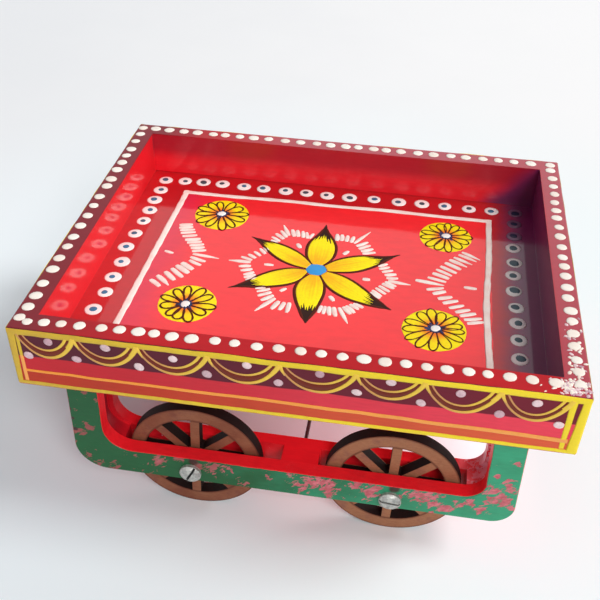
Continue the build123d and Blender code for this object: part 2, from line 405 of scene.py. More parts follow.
def makeFrameOuterPaint():
    look = framePaint
    material, tree, surface, place = newMaterial("frameGreen")
    x, y, z = parts(tree, place)
    wave = sway(tree, place, 120.0, 0.7 * mm, 4.0, 0.6)
    outward = calc(tree, "ADD", calc(tree, "ABSOLUTE", y), wave)
    onFace = ramp(tree, outward, panelFace - 0.42 * mm, panelFace - 0.3 * mm)
    # both frames carry the same worn spots, turned about the upright axis
    turned = calc(tree, "MULTIPLY", x, calc(tree, "SIGN", y), -1.0)
    flat = result(tree, "ShaderNodeCombineXYZ", {0: turned, 2: z})
    patchy = calc(tree, "ADD", turned, sway(tree, place, 40.0, 180 * mm, 3.0, 0.6))
    green = mixColor(tree, span(tree, patchy, look["greenTurn"]), look["deepGreen"], look["green"])
    near = []
    for across, high, radius in look["wornSpots"]:
        gap = vectorCalc(tree, "DISTANCE", flat, (across * mm, 0.0, high * mm))
        near.append(scaled(tree, gap, -1.0 / (radius * mm), 1.0))
    worn = ramp(tree, calc(tree, "MAXIMUM", *near), -1.6, 0.5, -0.2, 0.13)
    bias = calc(tree, "ADD", worn, span(tree, turned, (-90, 10), -0.04, 0.0))
    # the chips lean to the right, as if the board had been dragged
    lean = math.radians(look["chipLean"])
    along = scaled(tree, turned, math.cos(lean) * 0.6, scaled(tree, z, math.sin(lean) * 0.6))
    over = scaled(tree, turned, -math.sin(lean) * 1.2, scaled(tree, z, math.cos(lean) * 1.2))
    smear = result(tree, "ShaderNodeCombineXYZ", {0: along, 1: y, 2: over})
    wear = chips(tree, smear, bias, 350.0, 0.55)
    mottled = ramp(tree, noise(tree, smear, 500.0, 4.0, 0.6), 0.35, 0.65)
    chip = mixColor(tree, mottled, look["deepChip"], look["chip"])
    chip = mixColor(tree, span(tree, patchy, look["leftChipTurn"]), look["leftChip"], chip)
    color = mixColor(tree, wear["Mask"], green, chip)
    color = mixColor(tree, scaled(tree, wear["Rim"], 0.3), color, look["chipRim"])
    # dents along the left leg's edge, and stained old nail holes just above the screws
    for across, high in look["edgeDents"]:
        gap = vectorCalc(tree, "DISTANCE", flat, (across * mm, 0.0, high * mm))
        color = mixColor(tree, span(tree, scaled(tree, wave, 2.0, gap), (0.7, 1.5)), look["dent"], color)
    for name in corners:
        centre = boxCentre("axle_screw_" + name)
        spot = centre + Vector((look["oldHoleShift"], 0.0, look["oldHoleRise"])) * mm
        spot.y = math.copysign(panelFace, centre.y)
        gap = scaled(tree, wave, 3.0, vectorCalc(tree, "DISTANCE", place, spot))
        color = mixColor(tree, span(tree, gap, (1.6, 3.4), 0.95, 0.0), color, look["oldHole"])
    color = mixColor(tree, onFace, look["red"], color)
    color, rough, height = brushed(tree, place, color, (160, 500, 700), 0.32, 0.42)
    height = scaled(tree, wear["Mask"], -0.8, height)
    dress(tree, surface, color, rough, height, 0.5, 0.15, (0.12, 0.25, 0.3))
    return material


def makeFrameInnerPaint():
    look = framePaint
    material, tree, surface, place = newMaterial("frameRed")
    x, y, z = parts(tree, place)
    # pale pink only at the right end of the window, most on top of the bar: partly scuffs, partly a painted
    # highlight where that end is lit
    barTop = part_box("frame_front_right_block")[0].z + look["blockHeight"] * mm
    overBar = calc(tree, "SUBTRACT", z, barTop)
    onTop = calc(tree, "SUBTRACT", span(tree, overBar, (-0.6, -0.1)), span(tree, overBar, (9, 14)))
    onTop = calc(tree, "MULTIPLY", onTop, span(tree, x, (80, 84)))
    scuffAndHighlighted = scaled(tree, onTop, 0.13, span(tree, x, (82, 92), -0.22, 0.08))
    scuffAndHighlighted = calc(tree, "SUBTRACT", scuffAndHighlighted, span(tree, x, (100, 103), 0.0, 0.4))
    wear = chips(tree, place, scuffAndHighlighted, 260.0, 0.62)
    dark = ramp(tree, noise(tree, place, 60.0, 4.0, 0.6), 0.62, 0.72, 0.0, 0.5)
    color = mixColor(tree, dark, look["red"], look["darkRed"])
    # painted highlight: the bar's top there turns pale
    color = mixColor(tree, scaled(tree, onTop, 0.3), color, look["scuffAndHighlight"])
    color = mixColor(tree, scaled(tree, wear["Mask"], 0.85), color, look["scuffAndHighlight"])
    # painted shade: darker red at the window's left end, deepest on the core's set-back block
    inCore = span(tree, calc(tree, "ABSOLUTE", y), (73.4, 74.4), 0.55, 0.95)
    inside = span(tree, x, (-107, -103))
    paintedShade = calc(tree, "MULTIPLY", span(tree, x, look["paintedShadeTurn"], 1.0, 0.0), inside, inCore)
    color = mixColor(tree, paintedShade, color, look["paintedShadeRed"])
    coat = brushed(tree, place, color, (140, 400, 700), 0.2, 0.3)
    dress(tree, surface, *coat, 0.4, 0.15, (0.22, 0.22, 0.2))
    return material


# Wheel board, screws, rod

wheelBoard = {
    "face": rgb(198, 142, 104),
    "fibre": rgb(150, 96, 70),
    "burnt": rgb(18, 9, 8),
    "singed": rgb(44, 26, 22),
    "scorch": rgb(92, 48, 36),
    "smoke": rgb(120, 78, 78),
    # the left wheels are stained darker and redder
    "redStain": rgb(104, 42, 32),
    "redStainReach": {"front_left": 0.72, "front_right": 0.12, "back_left": 0.5, "back_right": 0.2},
    "rimOuter": 34.2,
    "rimInner": 26.8,
    "scorchWidth": (0.6, 1.6),
    "burnDepth": (0.2, 0.45),
}


def aboutAxle(tree, place, name):
    # Place from a round piece's middle, its part along the axle, and the distance from the axle
    local = vectorCalc(tree, "SUBTRACT", place, boxCentre(name))
    x, y, z = parts(tree, local)
    return local, y, calc(tree, "SQRT", scaled(tree, x, x, calc(tree, "MULTIPLY", z, z)))


def makeWheelBoard(name):
    look = wheelBoard
    low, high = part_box("wheel_" + name)
    material, tree, surface, place = newMaterial("wheelBoard_" + name)
    local, y, radius = aboutAxle(tree, place, "wheel_" + name)
    fibre = noise(tree, vectorCalc(tree, "MULTIPLY", local, (300, 300, 1100)), 1.0, 4.0, 0.65)
    grain = noise(tree, local, 900.0, 3.0, 0.7)
    face = mixColor(tree, fibre, look["fibre"], look["face"])
    face = mixColor(tree, scaled(tree, grain, 0.35), face, look["scorch"])
    smoky = ramp(tree, noise(tree, local, 70.0, 4.0, 0.65), 0.5, 0.72, 0.0, 0.6)
    face = mixColor(tree, smoky, face, look["smoke"])
    reach = look["redStainReach"][name]
    stainAndShade = ramp(tree, noise(tree, local, 46.0, 3.0, 0.6), 0.25, 0.7, reach * 0.45, reach)
    face = mixColor(tree, stainAndShade, face, look["redStain"])
    # scorched margins at the rim's two cut edges
    outerGap = calc(tree, "SUBTRACT", look["rimOuter"] * mm, radius)
    innerGap = calc(tree, "ABSOLUTE", calc(tree, "SUBTRACT", radius, look["rimInner"] * mm))
    margin = scaled(tree, grain, 1.0 * mm, calc(tree, "MINIMUM", outerGap, innerGap))
    face = mixColor(tree, span(tree, margin, look["scorchWidth"], 0.75, 0.0), face, look["scorch"])
    # the cut edges themselves are burnt
    depth = calc(tree, "SUBTRACT", (high.y - low.y) / 2, calc(tree, "ABSOLUTE", y))
    cut = span(tree, scaled(tree, grain, 0.2 * mm, depth), look["burnDepth"])
    edge = mixColor(tree, scaled(tree, fibre, 0.5), look["burnt"], look["singed"])
    color = mixColor(tree, cut, face, edge)
    rough = ramp(tree, grain, 0.0, 1.0, 0.62, 0.82)
    dress(tree, surface, color, rough, calc(tree, "ADD", grain, fibre), 0.35, 0.12)
    surface.inputs["Specular IOR Level"].default_value = 0.2
    return material


screwSteel = {
    "bright": rgb(200, 200, 194),
    "dull": rgb(146, 145, 142),
    # painted shade in the head's slot
    "slot": rgb(36, 34, 34),
    "slotDepth": (0.6, 1.2),
    "slotReach": (4.9, 5.3),
}


def makeScrewSteel(name):
    look = screwSteel
    head = max(abs(corner.y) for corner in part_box("axle_screw_" + name))
    material, tree, surface, place = newMaterial("screwSteel_" + name)
    local, _, radius = aboutAxle(tree, place, "axle_screw_" + name)
    stain = noise(tree, local, 420.0, 5.0, 0.65)
    scratch = noise(tree, vectorCalc(tree, "MULTIPLY", local, (2600, 400, 260)), 1.0, 3.0, 0.6)
    color = mixColor(tree, ramp(tree, stain, 0.35, 0.7), look["bright"], look["dull"])
    sunk = calc(tree, "SUBTRACT", head, calc(tree, "ABSOLUTE", parts(tree, place)[1]))
    inSlot = span(tree, radius, look["slotReach"], 1.0, 0.0)
    inSlot = calc(tree, "MULTIPLY", inSlot, span(tree, sunk, look["slotDepth"]))
    # painted shade: the slot's sunk faces are dark
    color = mixColor(tree, inSlot, color, look["slot"])
    rough = ramp(tree, stain, 0.2, 0.8, 0.32, 0.5)
    dress(tree, surface, color, rough, calc(tree, "ADD", scratch, stain), 0.3, 0.06)
    surface.inputs["Metallic"].default_value = 0.55
    return material


rodPaint = {"deep": rgb(48, 14, 16), "warm": rgb(92, 26, 30)}


def makeRodPaint():
    material, tree, surface, place = newMaterial("rodMaroon")
    stain = noise(tree, place, 300.0, 4.0, 0.6)
    color = mixColor(tree, stain, rodPaint["deep"], rodPaint["warm"])
    dress(tree, surface, color, ramp(tree, stain, 0.2, 0.8, 0.35, 0.55), stain, 0.4, 0.1)
    return material


glossyNames = ["tray_floor", "tray_wall_front", "tray_wall_left", "tray_wall_right"]
onNodes(makeTrayPaint("trayGloss", 0.06), glossyNames)
onNodes(makeTrayPaint("backWallGloss", 0.24), ["tray_wall_back"])
onNodes(makeFrameOuterPaint(), ["frame_front_outer_panel", "frame_back_outer_panel"])
innerNames = ["inner_panel", "middle_block", "left_block", "right_block"]
onNodes(makeFrameInnerPaint(), [f"frame_{end}_{name}" for end in ("front", "back") for name in innerNames])
for corner in corners:
    onNodes(makeWheelBoard(corner), ["wheel_" + corner])
    onNodes(makeScrewSteel(corner), ["axle_screw_" + corner])
onNodes(makeRodPaint(), ["tie_rod"])
print("paint on the cart's own pieces")


# Ornament paints

def makeDabPaint(name, color, second, gloss=0.35, depth=0.12, shine=0.35):
    # Thick brush paint. An attribute called tone turns it from one colour to the other.
    material, tree, surface, place = newMaterial(name)
    tone = addNode(tree, "ShaderNodeAttribute", attribute_name="tone").outputs["Fac"]
    drift = calc(tree, "ADD", tone, sway(tree, place, 180.0, 0.5))
    base = mixColor(tree, ramp(tree, drift, 0.0, 1.0), color, second)
    coat = brushed(tree, place, base, (700, 700, 700), depth, gloss)
    dress(tree, surface, *coat, 0.3, 0.1, (shine, 0.12, 0.2))
    return material


cream = makeDabPaint("creamDots", rgb(253, 246, 236), rgb(246, 226, 212))
white = makeDabPaint("whiteLines", rgb(252, 238, 230), rgb(250, 214, 206))
ringWhite = makeDabPaint("ringWhite", rgb(250, 244, 240), rgb(240, 224, 224))
ringBlue = makeDabPaint("ringBlue", rgb(50, 118, 156), rgb(52, 76, 86), depth=0.3)
blush = makeDabPaint("blushDots", rgb(240, 214, 216), rgb(196, 152, 166), depth=0.6, shine=0.15)
gold = makeDabPaint("goldBands", rgb(250, 222, 44), rgb(204, 162, 58), shine=0.1)
peach = makeDabPaint("peachLines", rgb(244, 204, 72), rgb(206, 146, 92), shine=0.1)
amber = makeDabPaint("amberLine", rgb(250, 156, 52), rgb(252, 172, 92), shine=0.1)
yellow = makeDabPaint("yellowPetals", rgb(255, 236, 4), rgb(252, 184, 8), depth=0.22, shine=0.15)
orange = makeDabPaint("orangePetals", rgb(255, 228, 16), rgb(246, 116, 30), depth=0.2, shine=0.15)
disc = makeDabPaint("yellowDiscs", rgb(255, 236, 14), rgb(252, 216, 12), depth=0.2, shine=0.15)
ink = makeDabPaint("inkLines", rgb(34, 14, 8), rgb(60, 26, 12), gloss=0.6, depth=0.3, shine=0.0)
rust = makeDabPaint("rustLines", rgb(88, 26, 8), rgb(64, 18, 8), gloss=0.6, depth=0.3, shine=0.0)
shadeRing = makeDabPaint("shadeRings", rgb(120, 84, 112), rgb(76, 40, 66))
sky = makeDabPaint("skyCentre", rgb(60, 156, 222), rgb(44, 130, 206), shine=0.15)
navy = makeDabPaint("navyRing", rgb(40, 58, 110), rgb(22, 26, 56), depth=0.3, shine=0.1)
umber = makeDabPaint("umberWash", rgb(126, 46, 22), rgb(104, 32, 26), depth=0.3, shine=0.05)


# Geometry Nodes: dabs and strokes of paint

def inputId(tree, label):
    for item in tree.interface.items_tree:
        if item.item_type == "SOCKET" and item.in_out == "INPUT" and item.name == label:
            return item.identifier


def named(tree, label, kind):
    return result(tree, "GeometryNodeInputNamedAttribute", {"Name": label}, data_type=kind)


def startTree(name, inputs):
    geometry = {"Geometry": "NodeSocketGeometry"}
    brush = {"Shake": 0.4 * mm, "Grain": 260.0, "Seed": 1, "Paint": "NodeSocketMaterial"}
    return startGroup(name, {**geometry, **inputs, **brush}, geometry, "GeometryNodeTree")


def endTree(tree, given, out, geometry):
    # Makes the copies real, moves their outlines a little as a hand-held brush does, and paints them
    real = result(tree, "GeometryNodeRealizeInstances", {"Geometry": geometry})
    place = result(tree, "GeometryNodeInputPosition")
    shifted = vectorCalc(tree, "ADD", place, result(tree, "ShaderNodeCombineXYZ", {2: given["Seed"]}))
    values = {"Vector": shifted, "Scale": given["Grain"], "Detail": 2.0}
    cloud = addNode(tree, "ShaderNodeTexNoise", values).outputs["Color"]
    centred = vectorCalc(tree, "SUBTRACT", cloud, (0.5, 0.5, 0.5))
    flat = vectorCalc(tree, "MULTIPLY", centred, (1.0, 1.0, 0.0))
    push = result(tree, "ShaderNodeVectorMath", {0: flat, "Scale": given["Shake"]}, operation="SCALE")
    shaken = result(tree, "GeometryNodeSetPosition", {"Geometry": real, "Offset": push})
    smooth = result(tree, "GeometryNodeSetShadeSmooth", {"Geometry": shaken})
    painted = result(tree, "GeometryNodeSetMaterial", {"Geometry": smooth, "Material": given["Paint"]})
    tree.links.new(painted, out[0])


def makeDabTree():
    tree, given, out = startTree("paintDabs", {"Height": 0.3 * mm, "Edge Points": 12, "Rings": 6})
    values = {"Segments": given["Edge Points"], "Rings": given["Rings"], "Radius": 1.0}
    ball = result(tree, "GeometryNodeMeshUVSphere", values)
    x, y, z = parts(tree, result(tree, "GeometryNodeInputPosition"))
    lifted = calc(tree, "MULTIPLY", calc(tree, "MAXIMUM", z, scaled(tree, z, 0.08)), given["Height"])
    moved = result(tree, "ShaderNodeCombineXYZ", {0: x, 1: y, 2: lifted})
    dab = result(tree, "GeometryNodeSetPosition", {"Geometry": ball, "Position": moved})
    turn = result(tree, "ShaderNodeCombineXYZ", {2: named(tree, "turn", "FLOAT")})
    copies = result(tree, "GeometryNodeInstanceOnPoints", {
        "Points": given["Geometry"],
        "Instance": dab,
        "Rotation": result(tree, "FunctionNodeEulerToRotation", {0: turn}),
        "Scale": named(tree, "reach", "FLOAT_VECTOR"),
    })
    endTree(tree, given, out, copies)
    return tree


def makeStrokeTree():
    tree, given, out = startTree("paintStrokes", {"Step": 1.5 * mm, "Lift": 0.15})
    line = result(tree, "GeometryNodeMeshToCurve", {"Mesh": given["Geometry"]})
    smooth = result(tree, "GeometryNodeCurveSplineType", {"Curve": line}, spline_type="CATMULL_ROM")
    values = {"Curve": smooth, "Length": given["Step"]}
    even = result(tree, "GeometryNodeResampleCurve", values, mode="LENGTH")
    level = result(tree, "GeometryNodeSetCurveNormal", {"Curve": even}, mode="Z_UP")
    profile = result(tree, "GeometryNodeCurvePrimitiveCircle", {"Resolution": 8, "Radius": 1.0})
    squash = result(tree, "ShaderNodeCombineXYZ", {0: 1.0, 1: given["Lift"], 2: 1.0})
    flat = result(tree, "GeometryNodeTransform", {"Geometry": profile, "Scale": squash})
    wide = named(tree, "wide", "FLOAT")
    values = {"Curve": level, "Profile Curve": flat, "Scale": wide, "Fill Caps": True}
    endTree(tree, given, out, result(tree, "GeometryNodeCurveToMesh", values))
    return tree


dabTree = makeDabTree()
strokeTree = makeStrokeTree()

# The painted faces: middle of each face at its top edge, with its across and up directions
paintFaces = {
    "floor": ((0, 0, floorTop), (1, 0, 0), (0, 1, 0)),
    "rim": ((0, 0, rimHigh), (1, 0, 0), (0, 1, 0)),
    "front": ((0, trayLow.y, rimHigh), (1, 0, 0), (0, 0, 1)),
    "back": ((0, trayHigh.y, rimHigh), (-1, 0, 0), (0, 0, 1)),
    "left": ((trayLow.x, 0, rimHigh), (0, -1, 0), (0, 0, 1)),
    "right": ((trayHigh.x, 0, rimHigh), (0, 1, 0), (0, 0, 1)),
}


def addObject(name, data):
    item = bpy.data.objects.new(name, data)
    scene.collection.objects.link(item)
    return item


def settle(mesh, name, face, lift):
    # Lays a flat mesh on its face, lifted by so many mm, and hands it to the tray
    origin, across, up = (Vector(row) for row in paintFaces[face])
    turn = Matrix((across, up, across.cross(up))).transposed().to_4x4()
    mesh.transform(Matrix.Translation(origin) @ turn @ Matrix.Translation((0, 0, lift * mm)))
    mesh.name = name
    piece = addObject(name, mesh)
    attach(piece, "root")


def grow(source, tree, values):
    # Runs a Geometry Nodes tree on a mesh and returns the plain result
    holder = addObject("holder", source)
    modifier = holder.modifiers.new("paint", "NODES")
    modifier.node_group = tree
    for label, value in values.items():
        modifier[inputId(tree, label)] = value
    holder.update_tag()
    bpy.context.view_layer.update()
    graph = bpy.context.evaluated_depsgraph_get()
    plain = bpy.data.meshes.new_from_object(holder.evaluated_get(graph))
    holder.modifiers.remove(modifier)
    bpy.data.objects.remove(holder)
    bpy.data.meshes.remove(source)
    return plain


def flatMesh(name, points, edges=(), faces=(), **attributes):
    # A mesh from points in mm, with one attribute for each named list of values
    mesh = bpy.data.meshes.new(name)
    mesh.from_pydata([tuple(value * mm for value in point) for point in points], edges, faces)
    for label, values in attributes.items():
        isVector = isinstance(values[0], tuple)
        layer = mesh.attributes.new(label, "FLOAT_VECTOR" if isVector else "FLOAT", "POINT")
        plain = [number for value in values for number in value] if isVector else values
        layer.data.foreach_set("vector" if isVector else "value", plain)
    return mesh


def dabs(name, rows, face, paint, height=0.3, shake=0.5, grain=260.0, edgePoints=12, ballRings=6):
    # rows: across, up, half length, half width, turn in degrees, tone
    mesh = flatMesh(
        name, [(row[0], row[1], 0) for row in rows], turn=[math.radians(row[4]) for row in rows],
        reach=[(row[2] * mm, row[3] * mm, 1.0) for row in rows], tone=[row[5] for row in rows])
    values = {"Height": height * mm, "Edge Points": edgePoints, "Rings": ballRings, "Shake": shake * mm,
              "Grain": grain, "Seed": 1, "Paint": paint}
    settle(grow(mesh, dabTree, values), name, face, 0.0)


def strokes(name, lines, face, paint, step=1.5, ratio=0.15, shake=0.4, grain=110.0, seed=1, lift=0.0):
    # lines: lists of (across, up, half width, tone); ratio is a stroke's height to its width
    rows, edges = [], []
    for line in lines:
        edges += [(len(rows) + i, len(rows) + i + 1) for i in range(len(line) - 1)]
        rows += line
    mesh = flatMesh(name, [(row[0], row[1], 0) for row in rows], edges,
                    wide=[row[2] * mm for row in rows], tone=[row[3] for row in rows])
    values = {"Step": step * mm, "Lift": ratio, "Shake": shake * mm, "Grain": grain, "Seed": seed,
              "Paint": paint}
    settle(grow(mesh, strokeTree, values), name, face, lift)


def between(a, b, s):
    return (a[0] + (b[0] - a[0]) * s, a[1] + (b[1] - a[1]) * s)


def sheet(rows, across, place, tone):
    # A closed sheet: place gives a point of its top or its underside in mm
    points, tones, faces = [], [], []
    for top in (True, False):
        for i in range(rows):
            for j in range(across + 1):
                points.append(place(i, j, top))
                tones.append(tone(i, j))
    wide = across + 1
    lower = rows * wide
    for i in range(rows - 1):
        for j in range(across):
            a = i * wide + j
            faces.append((a, a + 1, a + wide + 1, a + wide))
            faces.append((lower + a, lower + a + wide, lower + a + wide + 1, lower + a + 1))
    ring = list(range(wide)) + [i * wide + across for i in range(1, rows)]
    ring += [lower - 2 - j for j in range(across)] + [i * wide for i in range(rows - 2, 0, -1)]
    for a, b in zip(ring, ring[1:] + ring[:1]):
        faces.append((b, a, lower + a, lower + b))
    return points, tones, faces


def shell(leftSide, rightSide, across, height, toneAlong):
    # A softly crowned sheet between two edge lines of the same count, its underside just inside the face
    last = len(leftSide) - 1

    def place(i, j, top):
        s = j / across
        crown = (1 - (2 * s - 1) ** 4) * (1 - (2 * i / last - 1) ** 6)
        return (*between(leftSide[i], rightSide[i], s), height * (0.35 + 0.65 * crown) if top else -0.04)

    return sheet(last + 1, across, place, lambda i, j: toneAlong(i / last))


def shells(name, patches, face, paint, lift=0.0):
    points, tones, faces = [], [], []
    for part in patches:
        faces += [tuple(len(points) + v for v in quad) for quad in part[2]]
        points += part[0]
        tones += part[1]
    mesh = flatMesh(name, points, (), faces, tone=tones)
    form = bmesh.new()
    form.from_mesh(mesh)
    bmesh.ops.remove_doubles(form, verts=form.verts, dist=1e-6)
    bmesh.ops.dissolve_degenerate(form, edges=form.edges, dist=1e-6)
    bmesh.ops.recalc_face_normals(form, faces=form.faces)
    for item in form.faces:
        item.smooth = True
    form.to_mesh(mesh)
    form.free()
    mesh.materials.append(paint)
    settle(mesh, name, face, lift)


# Rim dots

rimDots = {
    "front": [
        -118.6, -111.4, -103.8, -95.2, -84.9, -76.9, -68.6, -60.9, -53.2, -44.0, -33.6, -24.7, -15.1, -5.2,
        4.3, 13.4, 22.4, 31.7, 40.6, 49.4, 58.3, 67.2, 75.9, 84.3, 93.5, 102.5, 111.9,
    ],
    "back": [
        -124.0, -115.9, -107.4, -97.9, -89.6, -79.7, -71.9, -62.6, -54.4, -45.1, -34.8, -25.8, -15.6, -7.2,
        1.9, 9.7, 18.8, 26.4, 35.2, 45.0, 54.2, 64.5, 73.5, 83.1, 92.0, 101.2, 111.3, 122.0,
    ],
    "left": [
        -91.2, -84.2, -75.5, -66.3, -54.8, -45.5, -35.2, -26.5, -16.1, -6.3, 3.4, 12.9, 23.9, 31.9, 42.6,
        50.6, 58.9, 67.0, 77.0, 86.1,
    ],
    "right": [
        -91.7, -84.2, -76.7, -67.5, -58.7, -50.0, -42.5, -32.5, -24.2, -15.2, -7.4, 1.0, 9.8, 19.2, 28.5,
        37.0, 44.7, 53.1, 61.8, 70.3, 79.0, 88.3,
    ],
    "frontLine": -92.2,
    "backLine": 94.6,
    "leftLine": -122.8,
    "rightLine": 122.2,
    "halfSize": 2.75,
    "smears": 190,
}


def paintRim():
    look = rimDots
    draw = random.Random(11)
    rows = []

    def dot(x, y):
        size = look["halfSize"] * draw.uniform(0.9, 1.12)
        if x < -116 and y < -90:
            # the two dots at the front left corner are small and lie further out
            size, x, y = size * 0.86, x - 0.4, y - 0.5
        x, y = x + draw.uniform(-0.3, 0.3), y + draw.uniform(-0.3, 0.3)
        longer, turn, tone = draw.uniform(0.98, 1.12), draw.uniform(-30, 30), draw.uniform(0, 0.6)
        rows.append((x, y, size * longer, size, turn, tone))

    for x in look["front"]:
        # the front row bends forward at its left end
        dot(x, look["frontLine"] + 0.06 * min(x + 90, 0))
    for x in look["back"]:
        dot(x, look["backLine"])
    for y in look["left"]:
        dot(look["leftLine"], y)
    for y in look["right"]:
        dot(look["rightLine"], y)
    dabs("rim_dots", rows, "rim", cream, height=0.32, shake=0.9, grain=230.0, edgePoints=14)
    # spilt specks at the front right corner
    specks, blots = [], []
    for count in range(look["smears"]):
        if draw.random() < 0.62:
            x, y = draw.gauss(117.5, 4.8), draw.gauss(-93.5, 2.6)
        else:
            x, y = draw.gauss(122.3, 2.2), draw.gauss(-76, 13)
        x, y = min(max(x, 103), 125.8), min(max(y, -98.4), -44)
        if x < 117.2 and y > -89.8:
            continue
        size = draw.uniform(0.3, 1.3)
        spot = (x, y, size * draw.uniform(0.9, 1.5), size * 0.7, draw.uniform(0, 180), draw.uniform(0, 1))
        (specks if count % 2 else blots).append(spot)
    dabs("rim_specks", specks, "rim", cream, height=0.22, shake=0.4, grain=420.0, edgePoints=8)
    dabs("rim_blots", blots, "rim", blush, height=0.2, shake=0.5, grain=380.0, edgePoints=8)


paintRim()
print("rim dots painted")


# Floor: line, rings, hatches

floorLine = {
    "half": 1.75,
    "sides": [
        [
            (-92.4, 67.4), (-76, 67.3), (-60, 67.3), (-30, 68.4), (0, 68.0), (30, 68.9), (60, 68.3),
            (92.0, 68.3),
        ],
        [
            (90.4, 69.8), (90.3, 58), (89.9, 25), (88.9, 5), (88.3, -12), (88.7, -35), (89.4, -57),
            (89.6, -68.8),
        ],
        [(91.2, -67.2), (60, -66.8), (25, -67.6), (-10, -67.0), (-50, -67.6), (-94.4, -67.3)],
        [(-92.8, -68.8), (-92.5, -50), (-92.2, -25), (-91.8, 0), (-91.3, 30), (-90.8, 52), (-90.6, 69.0)],
    ],
}

rings = {
    "back": [
        (-106.8, 78.4), (-94.9, 79.6), (-83.5, 80.5), (-71.4, 80.5), (-57.9, 79.9), (-45.6, 79.7),
        (-31.8, 79.6), (-19.0, 79.6), (-6.3, 79.0), (7.2, 79.3), (22.1, 80.0), (37.1, 79.9), (50.8, 80.3),
        (64.5, 80.2), (78.8, 79.9), (92.1, 79.9),
    ],
    "left": [
        (-106.6, 66.6), (-107.0, 55.0), (-106.7, 43.6), (-106.7, 32.0), (-107.6, 18.5), (-108.4, 5.0),
        (-106.2, -9.0), (-106.4, -23.0), (-106.2, -36.0), (-107.4, -50.6), (-107.0, -65.0),
    ],
    "right": [
        (106.0, 80.2), (105.0, 68.0), (104.6, 55.0), (103.7, 43.0), (103.8, 29.0), (102.9, 17.0),
        (102.6, 3.0), (103.4, -11.0), (103.6, -23.4), (103.7, -36.4), (103.7, -50.3), (104.0, -65.0),
    ],
    "front": [
        (-106.8, -79.2), (-93.5, -79.6), (-80.5, -79.2), (-66.5, -80.0), (-52.8, -79.4), (-39.5, -79.8),
        (-25.9, -79.3), (-12.2, -79.9), (1.6, -79.5), (15.4, -79.3), (28.9, -79.9), (42.7, -79.4),
        (56.1, -79.8), (69.9, -79.3), (83.2, -79.8), (96.0, -79.4), (107.2, -79.0),
    ],
    "halfSize": 4.4,
    "pupil": 2.15,
}

